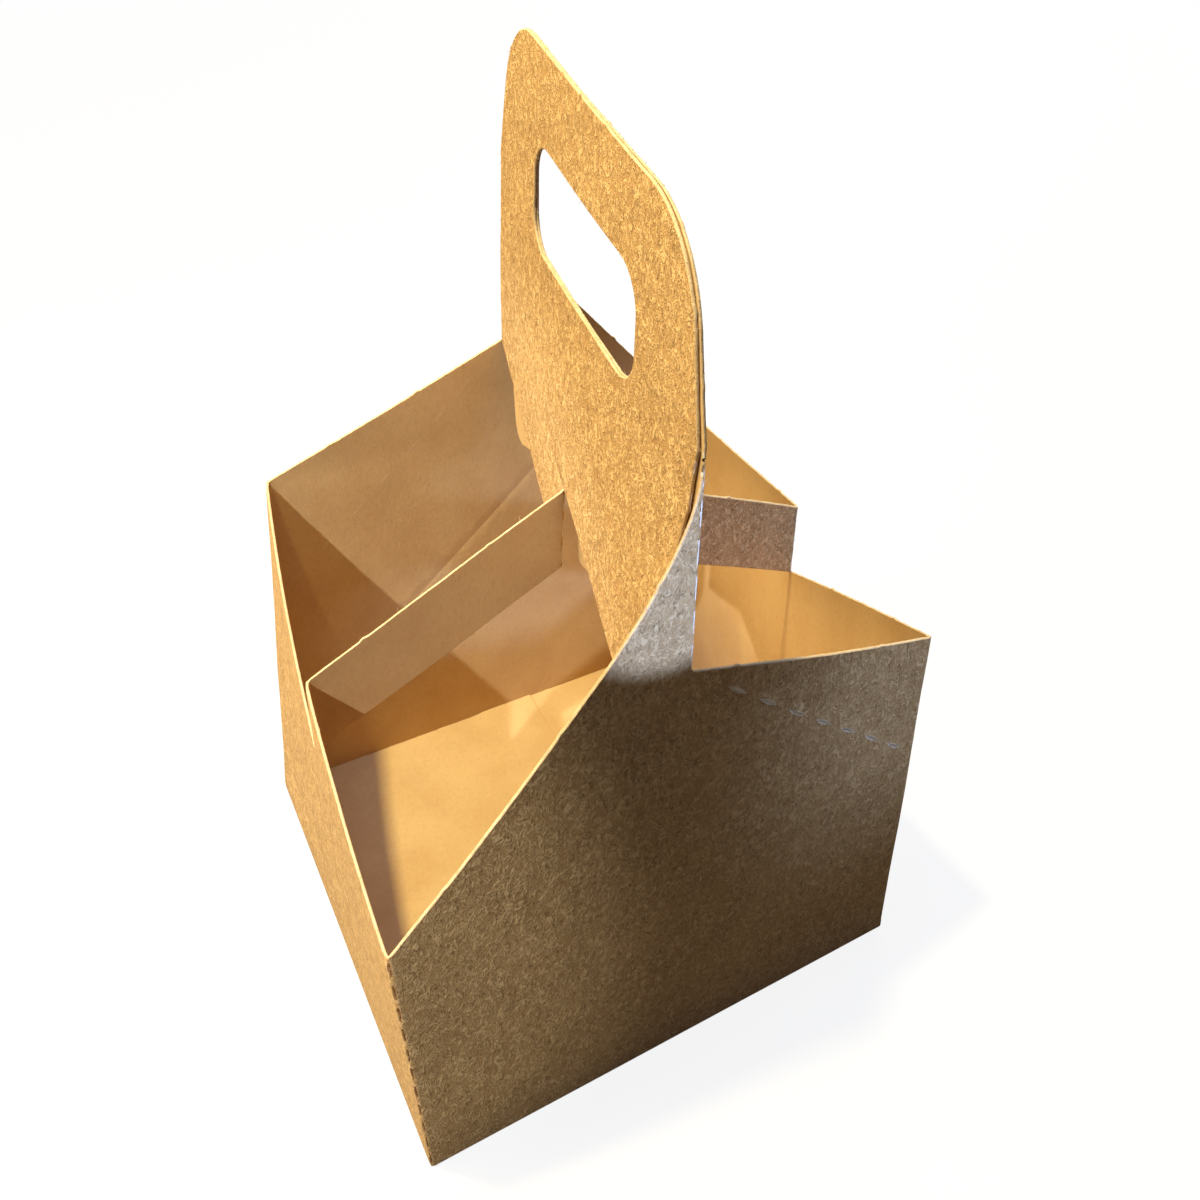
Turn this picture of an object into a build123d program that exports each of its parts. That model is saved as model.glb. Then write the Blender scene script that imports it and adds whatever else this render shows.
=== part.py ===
"""Carrier for four cups, die-cut and folded from one sheet of kraft board.

Two opposite halves of the blank are alike, so the folded carrier has half-turn symmetry about its
upright axis. Each half has a gable wall, a side wall, one ply of the handle and one strap. The gable
wall's own upper half is folded inwards as a handle ply, and the strip of board between the ply and the
walls becomes the strap that ties the side wall to the handle. The two plies are glued face to face, and
two floor panels are glued one over the other.

Millimetres. X runs across the carrier, Y along the handle and Z up. The origin is at the middle of the
floor's underside.
"""
import os
from build123d import *

# board and folds
board = 0.8
fold_inside = 0.6

# box
width = 180.0
length = 165.0
low_corner = 128.0
tall_corner = 152.0

# slope of a gable wall up to the handle
shoulder_height = 196.0
shoulder_from_middle = 30.0
handle_fold_below_top = 48.0

# cut that frees the handle ply and the strap from the walls
cut_start = 189.0
strap_fold_foot = 113.5
strap_height = 30.5
tab_length = 12.0
kerf = 0.5

# handle
handle_height = 304.0
handle_top_width = 142.0
handle_corner_radius = 30.0
free_end_clearance = 17.0
free_shoulder_clearance = 2.0
free_end_radius = 6.0
hole_length = 84.0
hole_height = 32.0
hole_corner_radius = 11.0
hole_below_top = 42.0

# floor
right_panel_past_middle = 2.0
left_panel_past_middle = 17.5
joggle_run = 6.0
joggle_clearance = 1.0

# worked out from the sizes above
fold_outside = fold_inside + board
half_width = width / 2
half_length = length / 2
handle_fold_top = handle_height - handle_fold_below_top
wall_end_x = half_width - fold_outside
wall_end_y = half_length - fold_outside
handle_fold_x = board - fold_outside
strap_fold_y = fold_outside - board / 2
strap_root = half_width - fold_outside
strap_tip = board + fold_inside
tab_root = -board / 2 - fold_inside
slope = (cut_start - tall_corner) / (wall_end_x - handle_fold_x)
strap_tip_foot = cut_start - slope * half_length
strap_tip_top = strap_tip_foot + strap_height
strap_fold_top = strap_fold_foot + strap_height


def dip(start, end, foot):
    """Cut that leaves its start at the slope of the straight cut and bends down to a foot, as an edge."""
    middle = (start.X + end) / 2
    return Bezier(start, (middle, start.Y - slope * (middle - start.X)), (end, foot))


def strap_foot_at(x):
    """Height of the strap's lower edge, at a distance across the carrier from its middle."""
    run = strap_root - strap_tip
    sag = (strap_tip_foot - slope * run - strap_fold_foot) / run**2
    return strap_tip_foot - slope * (x - strap_tip) - sag * (x - strap_tip)**2


# planes of the board's outer face, with Z up in the plane
gable_plane = Plane(origin=(0, -half_length, 0), x_dir=(1, 0, 0), z_dir=(0, -1, 0))
side_plane = Plane(origin=(half_width, 0, 0), x_dir=(0, 1, 0), z_dir=(1, 0, 0))
ply_plane = Plane(origin=(board, 0, 0), x_dir=(0, 1, 0), z_dir=(1, 0, 0))
strap_plane = Plane(origin=(0, -board / 2, 0), x_dir=(1, 0, 0), z_dir=(0, -1, 0))


def sheet(plane, outline):
    """A flat panel of board behind its outer face."""
    return extrude(plane * outline, amount=-board)


def outline_of(*edges):
    """A face bounded by edges drawn end to end."""
    return make_face(Wire(edges))


def upright_fold(centre_x, centre_y, start_angle, foot, top):
    """A quarter turn of board about an upright line."""
    outer = CenterArc((0, 0), fold_outside, start_angle, 90)
    inner = CenterArc((0, 0), fold_inside, start_angle, 90)
    ring = outline_of(outer, Line(outer @ 1, inner @ 1), inner, Line(inner @ 0, outer @ 0))
    return Pos(centre_x, centre_y, foot) * extrude(ring, amount=top - foot)


def gable_wall():
    """End wall that rises in a slope to the handle fold on one half and follows the cut on the other."""
    shoulder = Vector(-shoulder_from_middle, shoulder_height)
    low_end = Vector(-wall_end_x, low_corner)
    fold_top = Vector(handle_fold_x, handle_fold_top)
    lower = Polyline(
        low_end,
        (-wall_end_x, 0),
        (wall_end_x, 0),
        (wall_end_x, tall_corner),
        (handle_fold_x, cut_start),
        fold_top,
    )
    steepness = (shoulder_height - low_corner) / (wall_end_x - shoulder_from_middle)
    meeting = Vector(handle_fold_x, shoulder_height + steepness * (handle_fold_x + shoulder_from_middle))
    sweep_up = Bezier(shoulder, meeting, fold_top)
    return sheet(gable_plane, outline_of(*lower.edges(), sweep_up, Line(shoulder, low_end)))


def side_wall():
    """Side wall with a dipping front half, from which the strap was cut, and a plain back half."""
    tall_end = Vector(-wall_end_y, tall_corner)
    lower = Polyline(
        tall_end,
        (-wall_end_y, fold_outside),
        (wall_end_y, fold_outside),
        (wall_end_y, low_corner),
        (strap_fold_y, strap_fold_top),
        (strap_fold_y, strap_fold_foot),
    )
    return sheet(side_plane, outline_of(*lower.edges(), dip(tall_end, strap_fold_y, strap_fold_foot)))


def strap():
    """Band from the side wall up to the handle, with its tab turned along the handle."""
    tip_foot = Vector(strap_tip, strap_tip_foot)
    tip_top = Vector(strap_tip, strap_tip_top)
    band = sheet(strap_plane, outline_of(
        dip(tip_foot, strap_root, strap_fold_foot),
        Line((strap_root, strap_fold_foot), (strap_root, strap_fold_top)),
        dip(tip_top, strap_root, strap_fold_top),
        Line(tip_top, tip_foot),
    ))
    tab_rise = slope * (tab_length + tab_root)
    tab = sheet(ply_plane, make_face(Polyline(
        (tab_root, strap_tip_foot),
        (tab_root, strap_tip_top),
        (-tab_length, strap_tip_top + tab_rise),
        (-tab_length, strap_tip_foot + tab_rise),
        close=True,
    )))
    root_fold = upright_fold(strap_root, strap_fold_y, -90, strap_fold_foot, strap_fold_top)
    tip_fold = upright_fold(strap_tip, tab_root, 90, strap_tip_foot, strap_tip_top)
    return band + tab + root_fold + tip_fold


def handle_ply():
    """One ply of the handle, from its fold on the gable wall to its free end."""
    fold_foot = Vector(-wall_end_y, cut_start)
    fold_top = Vector(-wall_end_y, handle_fold_top)
    step = -tab_length - kerf
    step_foot = Vector(step, cut_start - slope * (step + wall_end_y))
    lip_bend = Vector(strap_tip, strap_tip_top + kerf)
    step_top = Vector(step, lip_bend.Y + slope * (strap_tip - step))
    free_y = half_length - free_end_clearance
    free_foot = Vector(free_y, strap_foot_at(free_y) + strap_height + kerf)
    free_shoulder = Vector(half_length - free_shoulder_clearance, handle_fold_top)
    half_top = handle_top_width / 2
    near_corner = Vector(-half_top, handle_height)
    far_corner = Vector(half_top, handle_height)
    edges = Polyline(
        free_foot,
        free_shoulder,
        far_corner,
        near_corner,
        fold_top,
        fold_foot,
        step_foot,
        step_top,
        lip_bend,
    )
    face = outline_of(*edges.edges(), dip(lip_bend, free_foot.X, free_foot.Y))
    top_corners = face.vertices().group_by(Axis.Y)[-1]
    face = fillet(top_corners, handle_corner_radius)
    face = fillet(face.vertices().sort_by_distance(free_foot)[0], free_end_radius)
    hole = RectangleRounded(hole_length, hole_height, hole_corner_radius)
    face = face - Pos(0, handle_height - hole_below_top) * hole
    fold = upright_fold(handle_fold_x, -wall_end_y, -90, cut_start, handle_fold_top)
    return sheet(ply_plane, face) + fold


def floor_panel(profile):
    """Floor panel with a level profile across the carrier, between the two gable walls."""
    section = Plane.XZ * profile
    return Pos(0, wall_end_y, 0) * extrude(section, amount=2 * wall_end_y)


def floor_fold(side):
    """Rounded foot of a side wall, where it turns under into its floor panel."""
    start_angle = -90 if side > 0 else 180
    outer = CenterArc((0, 0), fold_outside, start_angle, 90)
    inner = CenterArc((0, 0), fold_inside, start_angle, 90)
    ring = outline_of(outer, Line(outer @ 1, inner @ 1), inner, Line(inner @ 0, outer @ 0))
    return floor_panel(Pos(side * wall_end_x, fold_outside) * ring)


def floor():
    """Right panel flat on the table, and left panel that steps up over it."""
    right_edge = -right_panel_past_middle
    right = make_face(Polyline(
        (wall_end_x, 0),
        (wall_end_x, board),
        (right_edge, board),
        (right_edge, 0),
        close=True,
    ))
    lifted = right_edge - joggle_clearance
    level = lifted - joggle_run
    left = make_face(Polyline(
        (-wall_end_x, 0),
        (level, 0),
        (lifted, board),
        (left_panel_past_middle, board),
        (left_panel_past_middle, 2 * board),
        (lifted, 2 * board),
        (level, board),
        (-wall_end_x, board),
        close=True,
    ))
    return floor_panel(right) + floor_panel(left) + floor_fold(1) + floor_fold(-1)


def half_carrier():
    """Gable wall, side wall, handle ply and strap of one half, with its two upright corners."""
    low_fold = upright_fold(-wall_end_x, -wall_end_y, 180, 0, low_corner)
    tall_fold = upright_fold(wall_end_x, -wall_end_y, -90, 0, tall_corner)
    return gable_wall() + side_wall() + strap() + handle_ply() + low_fold + tall_fold


half = half_carrier()
carrier = half + Rot(0, 0, 180) * half + floor()

os.makedirs("parts", exist_ok=True)
export_step(carrier, "parts/carrier_board.step")
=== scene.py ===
"""Looks of a cup carrier folded from one sheet of kraft board.

The board is drawn panel by panel on its middle surface, folded, settled as the carrier in the photograph
has settled, and given its thickness. Two opposite halves of the blank are alike, so each panel is drawn
once and made again half a turn round. Lengths are in millimetres, as in the CAD, until a mesh is made.
"""
import math
import random

import bmesh
import bpy
import numpy as np
from mathutils import Matrix, Vector, noise
from mathutils.geometry import delaunay_2d_cdt


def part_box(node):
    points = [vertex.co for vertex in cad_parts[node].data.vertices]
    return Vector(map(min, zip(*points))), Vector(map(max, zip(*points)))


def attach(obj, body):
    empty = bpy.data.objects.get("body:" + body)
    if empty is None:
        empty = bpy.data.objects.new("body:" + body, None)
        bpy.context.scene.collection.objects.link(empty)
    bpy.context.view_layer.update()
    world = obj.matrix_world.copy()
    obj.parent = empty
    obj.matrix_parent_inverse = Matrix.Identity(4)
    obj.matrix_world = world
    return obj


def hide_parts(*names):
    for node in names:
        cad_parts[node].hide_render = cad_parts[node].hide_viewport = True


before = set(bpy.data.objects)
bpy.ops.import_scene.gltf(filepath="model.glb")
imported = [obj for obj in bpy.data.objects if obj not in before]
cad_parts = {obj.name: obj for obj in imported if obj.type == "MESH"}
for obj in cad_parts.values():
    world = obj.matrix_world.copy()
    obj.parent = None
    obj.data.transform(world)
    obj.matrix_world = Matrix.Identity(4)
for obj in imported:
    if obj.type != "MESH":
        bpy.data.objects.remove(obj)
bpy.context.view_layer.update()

MM = 0.001
BODY = "root"
rng = random.Random(41)

# sizes of the board, as in the CAD
high_corner_of_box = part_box("carrier_board")[1]
half_width = high_corner_of_box.x / MM
half_length = high_corner_of_box.y / MM
handle_height = high_corner_of_box.z / MM
board = 0.8
fold_radius = 1.0
low_corner = 128.0
tall_corner = 152.0
shoulder_height = 196.0
shoulder_from_middle = 30.0
handle_fold_below_top = 48.0
cut_start = 189.0
strap_fold_foot = 113.5
strap_height = 30.5
tab_length = 12.0
handle_top_width = 142.0
handle_corner_radius = 30.0
free_end_clearance = 17.0
free_shoulder_clearance = 2.0
free_end_radius = 6.0
hole_length = 84.0
hole_height = 32.0
hole_corner_radius = 11.0
hole_below_top = 42.0
right_panel_past_middle = 2.0
left_panel_past_middle = 17.5
joggle_run = 6.0
joggle_clearance = 1.0

# gaps that are drawn narrower than in the CAD
kerf = 0.04
floor_clearance = 0.85

# middle surface of the board
wall_x = half_width - board / 2
wall_y = half_length - board / 2
ply_x = board / 2
floor_z = board / 2
floor_y = half_length - floor_clearance
handle_fold_top = handle_height - handle_fold_below_top
hole_middle = handle_height - hole_below_top
slope = (cut_start - tall_corner) / (wall_x - ply_x)
strap_tip_foot = cut_start - slope * half_length
strap_tip_top = strap_tip_foot + strap_height
strap_fold_top = strap_fold_foot + strap_height
ply_lip_past_fold = 1.4

# how this carrier has settled: shifts in X and Y of each corner, by its side and its end
CORNER_LEAN = {
    (-1, -1): (-3.0, -4.0),
    (1, -1): (-4.5, 9.0),
    (-1, 1): (16.5, 2.0),
    (1, 1): (4.5, -2.5),
}
FOOT_SHIFT = {
    (-1, -1): (-1.0, -3.0),
    (1, -1): (0.0, 2.0),
    (-1, 1): (-1.0, 0.5),
    (1, 1): (0.0, 0.0),
}
LEFT_WALL_BOW = 3.0
RIGHT_WALL_BOW = -2.0
FRONT_GABLE_BOW = 3.5
BACK_GABLE_BOW = -1.5
FRONT_HEAD_LEAN = 4.0
BACK_HEAD_LEAN = 4.5
HEAD_LEAN_LIMIT = 1.3
HANDLE_SWAY = -1.2
HANDLE_YAW = 1.5
HANDLE_TILT = 0.5
HANDLE_TWIST = 0.8
HANDLE_CURL = 0.9
HANDLE_ARCH = 2.2
PLY_SPLAY = 8.0
SPLAY_FROM = 240.0
SPLAY_RUN = 80.0
SPLAY_END_RUN = 1.6
SPLAY_SIDE_FADE = 2.0

# slight waves of the board, and the strip along its foot that has none
BROAD_WAVE_RUN = 46.0
BROAD_WAVE_HEIGHT = 0.35
SMALL_WAVE_RUN = 13.0
SMALL_WAVE_HEIGHT = 0.08
SMALL_WAVE_FROM = Vector((7.3, 1.9, 4.4))
FOOT_STRIP = 3.0

# cut edges, the nicks that held the blank in its sheet, and crushed widths as shares of a plain cut's
SHORTEST_CUT = 5
CUT_WANDER = 0.06
NICK_SPACING = 48.0
NICK_HEIGHT = 0.45
FIRST_NICK_SPREAD = (0.3, 0.8)
NICK_SPACING_SPREAD = (0.6, 1.4)
NICK_HEIGHT_SPREAD = (0.6, 1.2)
SHARP_CUT = 0.05
PLAIN_CUT = 1.0
FRAYED_CUT = 0.7
FRAYED_REACH = 0.6
OUTER_CRUSH = (0.30, 0.20)
INNER_CRUSH = (0.12, 0.08)

# slits along a perforated fold
SLIT_LENGTH = 8.5
SLIT_GAP = 3.2
SLIT_HALF_WIDTH = 0.30
SLIT_TAPER = 0.8
SLIT_SHOULDER = 0.8

# perforated line across a gable wall, and scored lines
DASH_FROM = 12.4
DASH_TO = 86.0
DASH_PITCH = 15.3
DASH_LENGTH = 7.5
DASH_HALF_WIDTH = 0.03
DASH_SHARES = (0.25, 0.5, 0.75)
DASH_CRUSH = 2.6
LIP_OUT = 0.70
LIP_IN = 0.10
LIP_REACH = 1.1
GABLE_SCORE = ((82.0, 34.0), (-24.0, 140.0))
SIDE_SCORE_FOOT = 5.0
SIDE_SCORE_BELOW_FOLD = 3.0
SCORE_HALF_WIDTH = 0.55
SCORE_RISE = 0.12

# mesh
POINT_SPACING = 3.4
ROW_SHARE = 0.866
EDGE_SPACING = 1.7
FOLD_SPACING = 2.5
FOLD_SHARES = (0.5, 1.0)
SCORE_SPACING = 2.0
GRID_ROOM = POINT_SPACING * 0.6
SCORE_ROOM = 0.5
SCORE_SIDE_ROOM = 0.3
CLOSE_ROOM = 0.4
SAME_POINT = 0.02
ON_FOLD = 1e-4
BESIDE_FOLD = 0.01
PAST_FOLD_END = 0.05
TIGHT_SLACK = 0.1
SLIVER_HEIGHT = 0.02
LEVEL_RISE = 1e-9
WHOLE_HULL = 0
MERGE_REACH = 1e-5
UNCUT = (PLAIN_CUT, 0.0)

# finishes of the board's faces, by their place in its list of materials
OUTER_FACE = 0
INNER_FACE = 1
CUT_FACE = 2
TORN_FACE = 3

# look of the pulp
FIBRE_STRETCH = (1.0, 1.0, 0.62)
THIN_STRAND_SHARE = 0.55
GRAIN_SHARE = 0.5
RELIEF_DEPTH = 0.0003

# loose fibres
HAIR_RINGS = (0.0, 0.4, 0.8)
HAIR_SIDES = 3
HAIR_TAPER = 0.6
HAIR_RADIUS = 0.07
EDGE_HAIRS = 1100
EDGE_HAIR_LENGTH = (0.5, 1.5)
EDGE_HAIR_OUT = 0.8
EDGE_HAIR_ALONG = 1.2
EDGE_HAIR_TILT = 0.7
EDGE_HAIR_BEND = 0.3
EDGE_HAIR_ROOT = 0.15
EDGE_HAIR_SPREAD = 0.4
FACE_HAIRS = 420
FACE_HAIR_LENGTH = (1.2, 4.0)
FACE_HAIR_LIFT = 0.05
FACE_HAIR_BEND = 0.5
FACE_HAIR_ROOT = 0.02

# studio, in metres
FLOOR_REACH = 6.0
FLOOR_BELOW = 0.0006
FLOOR_GLOW = 0.88
FLOOR_SHADOW_REACH = 0.25
FLOOR_WHITE_FROM = 1.4
FLOOR_TONE = (0.80, 0.79, 0.78, 1)
FLOOR_BOUNCE = (0.10, 0.098, 0.095, 1)
WORLD_TONE = (0.90, 0.78, 1.0, 1)
WORLD_LEVEL = 0.11
WHITE = (1, 1, 1, 1)
POOL_LAMP_SIZE = 0.025

# camera, with its place in millimetres
CAMERA_AT = (-122.1, -262.7, 424.5)
CAMERA_FORWARD = (0.3831, 0.6583, -0.6479)
CAMERA_RIGHT = (0.8800, -0.4734, 0.0393)
CAMERA_SENSOR = 36.0
CAMERA_LENS = 37.87
CAMERA_SHIFT = (-0.05, -0.075)
CAMERA_NEAR = 0.01


def clip(value, low=0.0, high=1.0):
    """Value held between two limits."""
    return max(low, min(high, value))


def steps(start, end, spacing):
    """Evenly spaced values from start to end, with both ends."""
    count = max(1, round(abs(end - start) / spacing))
    return [start + (end - start) * i / count for i in range(count + 1)]


def curve(start, control, end, spacing=EDGE_SPACING):
    """Points of a quadratic curve."""
    length = math.dist(start, control) + math.dist(control, end)
    points = []
    for t in steps(0.0, 1.0, spacing / length):
        near, middle, far = (1 - t) ** 2, 2 * t * (1 - t), t ** 2
        points.append(tuple(near * a + middle * b + far * c for a, b, c in zip(start, control, end)))
    return points


def line(start, end, spacing=EDGE_SPACING):
    """Points of a straight run."""
    count = max(1, round(math.dist(start, end) / spacing))
    return [tuple(a + (b - a) * i / count for a, b in zip(start, end)) for i in range(count + 1)]


def dip(start, end, foot):
    """Cut that leaves its start at the slope of the straight cut and bends down to a foot."""
    middle = (start[0] + end) / 2
    return curve(start, (middle, start[1] - slope * (middle - start[0])), (end, foot))


def rounded(before, corner, after, radius):
    """Arc that rounds a corner between two straight runs."""
    corner, before, after = Vector(corner), Vector(before), Vector(after)
    first = (before - corner).normalized()
    second = (after - corner).normalized()
    half = first.angle(second) / 2
    centre = corner + (first + second).normalized() * radius / math.sin(half)
    start = corner + first * radius / math.tan(half) - centre
    end = corner + second * radius / math.tan(half) - centre
    turn = start.angle_signed(end)
    points = []
    for t in steps(0.0, 1.0, EDGE_SPACING / (radius * abs(turn))):
        angle = -turn * t
        x = start.x * math.cos(angle) - start.y * math.sin(angle)
        y = start.x * math.sin(angle) + start.y * math.cos(angle)
        points.append((centre.x + x, centre.y + y))
    return points


def joined(*runs):
    """Runs of points end to end, without the doubled points where they meet."""
    points = []
    for run in runs:
        for point in run:
            if not points or math.dist(points[-1], point) > SAME_POINT:
                points.append(point)
    if math.dist(points[0], points[-1]) < SAME_POINT:
        points.pop()
    return points


def cut(points):
    """A cut edge: it wanders a little, and has a small nub wherever the die left a nick."""
    if len(points) < SHORTEST_CUT:
        return points
    made = [points[0]]
    to_nick = rng.uniform(*FIRST_NICK_SPREAD) * NICK_SPACING
    for before, point, after in zip(points, points[1:], points[2:]):
        away = Vector((after[1] - before[1], before[0] - after[0])).normalized()
        to_nick -= math.dist(before, point)
        offset = rng.uniform(-CUT_WANDER, CUT_WANDER)
        if to_nick < 0:
            offset += NICK_HEIGHT * rng.uniform(*NICK_HEIGHT_SPREAD)
            to_nick = NICK_SPACING * rng.uniform(*NICK_SPACING_SPREAD)
        made.append((point[0] + away.x * offset, point[1] + away.y * offset))
    made.append(points[-1])
    return made


def crease(start, end):
    """A plain fold line, as points that both of its panels share."""
    return line(start, end, FOLD_SPACING)


def perforated(start, end, into):
    """A fold line with slits cut through it, opened by half a slit towards one panel."""
    length = math.dist(start, end)
    count = max(1, round(length / (SLIT_LENGTH + SLIT_GAP)))
    pitch = length / count
    gap = pitch * SLIT_GAP / (SLIT_LENGTH + SLIT_GAP)
    along = ((end[0] - start[0]) / length, (end[1] - start[1]) / length)
    points = []
    for i in range(count):
        base = i * pitch
        for at, width in (
            (0.0, 0.0),
            (gap / 2, 0.0),
            (gap / 2 + SLIT_TAPER, SLIT_SHOULDER),
            (pitch / 2, 1.0),
            (pitch - gap / 2 - SLIT_TAPER, SLIT_SHOULDER),
            (pitch - gap / 2, 0.0),
        ):
            x = start[0] + along[0] * (base + at) + into[0] * width * SLIT_HALF_WIDTH
            y = start[1] + along[1] * (base + at) + into[1] * width * SLIT_HALF_WIDTH
            points.append((x, y))
    points.append(tuple(end))
    return points


class Fold:
    """A straight fold on a panel's edge: where it runs, and to which side the next panel turns."""

    def __init__(self, axis, at, side, turn, low, high, is_frayed=False):
        self.axis = axis
        self.at = at
        self.side = side
        self.turn = turn
        self.low = low
        self.high = high
        self.is_frayed = is_frayed

    def distance(self, point):
        """How far a point of the panel lies from the fold, or None beyond its ends."""
        along = point[1 - self.axis]
        off = self.side * (point[self.axis] - self.at)
        if off < -BESIDE_FOLD or not self.low - PAST_FOLD_END <= along <= self.high + PAST_FOLD_END:
            return None
        return max(0.0, off)

    def columns(self):
        """Points beside the fold that carry its roundness."""
        made = []
        for share in FOLD_SHARES:
            across = self.at + self.side * fold_radius * share
            for along in steps(self.low, self.high, FOLD_SPACING):
                made.append((across, along) if self.axis == 0 else (along, across))
        return made


class Panel:
    """A flat panel of the board in its own plane, with its folds, slits and scored lines."""

    def __init__(self, origin, across, up, outline, folds=(), holes=(), dashes=(), scores=(), lift=None,
                 is_tight=None):
        self.origin = Vector(origin)
        self.across = Vector(across)
        self.up = Vector(up)
        self.inward = self.up.cross(self.across)
        self.outline = outline
        self.folds = folds
        self.holes = list(holes)
        self.dashes = dashes
        self.scores = scores
        self.lift = lift
        self.is_tight = is_tight

    def loops(self):
        """The outline, then the holes, then the slits."""
        return [self.outline, *self.holes, *[slit["loop"] for slit in self.dashes]]

    def place(self, point):
        """Where a point of the panel lies once the board is folded."""
        at = list(point)
        sunk = self.lift(point) if self.lift else 0.0
        for fold in self.folds:
            off = fold.distance(point)
            if off is None or off >= fold_radius:
                continue
            angle = (1 - off / fold_radius) * math.pi / 4
            at[fold.axis] = fold.at + fold.side * fold_radius * (1 - math.sin(angle))
            sunk += fold.turn * fold_radius * (1 - math.cos(angle))
        return self.origin + self.across * at[0] + self.up * at[1] + self.inward * sunk

    def is_near_fold(self, point, reach):
        """Whether a point lies within reach of a fold."""
        return any(fold.distance(point) is not None and fold.distance(point) < reach for fold in self.folds)

    def crush(self, point, is_dash):
        """How widely the die has crushed a point of a cut edge."""
        if is_dash:
            return DASH_CRUSH
        for fold in self.folds:
            off = fold.distance(point)
            if off is not None and off < FRAYED_REACH:
                return FRAYED_CUT if fold.is_frayed else SHARP_CUT
        return SHARP_CUT if self.is_tight and self.is_tight(point) else PLAIN_CUT


def inside(points, loops):
    """Which points lie inside an outline and outside its holes."""
    points = np.asarray(points, float)
    within = np.zeros(len(points), bool)
    for loop in loops:
        corners = np.asarray(loop, float)
        for start, end in zip(corners, np.roll(corners, -1, axis=0)):
            crosses = (start[1] > points[:, 1]) != (end[1] > points[:, 1])
            rise = end[1] - start[1] if end[1] != start[1] else LEVEL_RISE
            reach = start[0] + (points[:, 1] - start[1]) / rise * (end[0] - start[0])
            within ^= crosses & (points[:, 0] < reach)
    return within


class Crowd:
    """Points kept apart from one another."""

    def __init__(self, cell):
        self.cell = cell
        self.cells = {}

    def add(self, point):
        """Takes a point in."""
        key = (int(point[0] // self.cell), int(point[1] // self.cell))
        self.cells.setdefault(key, []).append(point)

    def is_clear(self, point, distance):
        """Whether no point taken in lies within a distance, up to a cell, of a new one."""
        column, row = int(point[0] // self.cell), int(point[1] // self.cell)
        for i in (column - 1, column, column + 1):
            for j in (row - 1, row, row + 1):
                if any(math.dist(point, other) < distance for other in self.cells.get((i, j), ())):
                    return False
        return True


def dash_slits(start, end):
    """Slits of a perforated line across a panel: each a narrow eye with an upper lip that stands out."""
    along = (Vector(end) - Vector(start)).normalized()
    away = Vector((along.y, -along.x))
    slits = []
    for i in range(int(math.dist(start, end) / DASH_PITCH) + 1):
        tip = Vector(start) + along * DASH_PITCH * i
        upper = []
        lower = []
        for share in DASH_SHARES:
            middle = tip + along * DASH_LENGTH * share
            width = DASH_HALF_WIDTH * math.sin(math.pi * share)
            upper.append((middle - away * width)[:])
            lower.append((middle + away * width)[:])
        ends = (tip[:], (tip + along * DASH_LENGTH)[:])
        slits.append({"loop": [ends[0], *lower, ends[1], *reversed(upper)], "upper": upper, "lower": lower})
    return slits


def boundary(panel):
    """Points and edges of a panel's loops, with each point's crushed width and lip."""
    lips = {}
    for slit in panel.dashes:
        lips.update({point: LIP_OUT for point in slit["upper"]})
        lips.update({point: -LIP_IN for point in slit["lower"]})
    points = []
    crushes = []
    edges = []
    for k, loop in enumerate(panel.loops()):
        first = len(points)
        is_dash = k > len(panel.holes)
        for i, point in enumerate(loop):
            edges.append((first + i, first + (i + 1) % len(loop)))
            points.append(point)
            crushes.append((panel.crush(point, is_dash), lips.get(point, 0.0)))
    return points, crushes, edges


def score_points(panel):
    """Points of a panel's scored lines and of their two sides, each with its rise and the room it needs."""
    made = []
    for start, end in panel.scores:
        along = (Vector(end) - Vector(start)).normalized()
        away = Vector((along.y, -along.x)) * SCORE_HALF_WIDTH
        for point in line(start, end, SCORE_SPACING):
            made.append((point, SCORE_RISE, SCORE_ROOM))
            made.append(((Vector(point) + away)[:], 0.0, SCORE_SIDE_ROOM))
            made.append(((Vector(point) - away)[:], 0.0, SCORE_SIDE_ROOM))
    return made


def lip_points(panel):
    """Points beside a panel's slits that keep the lips short."""
    made = []
    for slit in panel.dashes:
        for row, facing in ((slit["upper"], slit["lower"]), (slit["lower"], slit["upper"])):
            for point, other in zip(row, facing):
                away = (Vector(point) - Vector(other)).normalized() * LIP_REACH
                made.append(((Vector(point) + away)[:], 0.0, CLOSE_ROOM))
    return made


def fold_points(panel):
    """Points beside a panel's folds."""
    return [(point, 0.0, CLOSE_ROOM) for fold in panel.folds for point in fold.columns()]


def grid_points(panel):
    """Points of an even grid of triangles over a panel."""
    corners = np.asarray(panel.outline)
    low, high = corners.min(axis=0), corners.max(axis=0)
    made = []
    for row in range(int((high[1] - low[1]) / (POINT_SPACING * ROW_SHARE)) + 1):
        shift = POINT_SPACING * (0.25 + 0.5 * (row % 2))
        height = low[1] + (row + 0.5) * POINT_SPACING * ROW_SHARE
        for column in range(int((high[0] - low[0]) / POINT_SPACING) + 1):
            made.append(((low[0] + shift + column * POINT_SPACING, height), 0.0, GRID_ROOM))
    return made


def is_sliver(panel, corners):
    """Whether a triangle clear of the folds has its corners all but in line."""
    if any(panel.is_near_fold(corner, ON_FOLD) for corner in corners):
        return False
    (ax, ay), (bx, by), (cx, cy) = corners
    longest = max(math.dist(first, second) for first, second in zip(corners, corners[1:] + corners[:1]))
    return abs((bx - ax) * (cy - ay) - (cx - ax) * (by - ay)) < SLIVER_HEIGHT * longest


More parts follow.
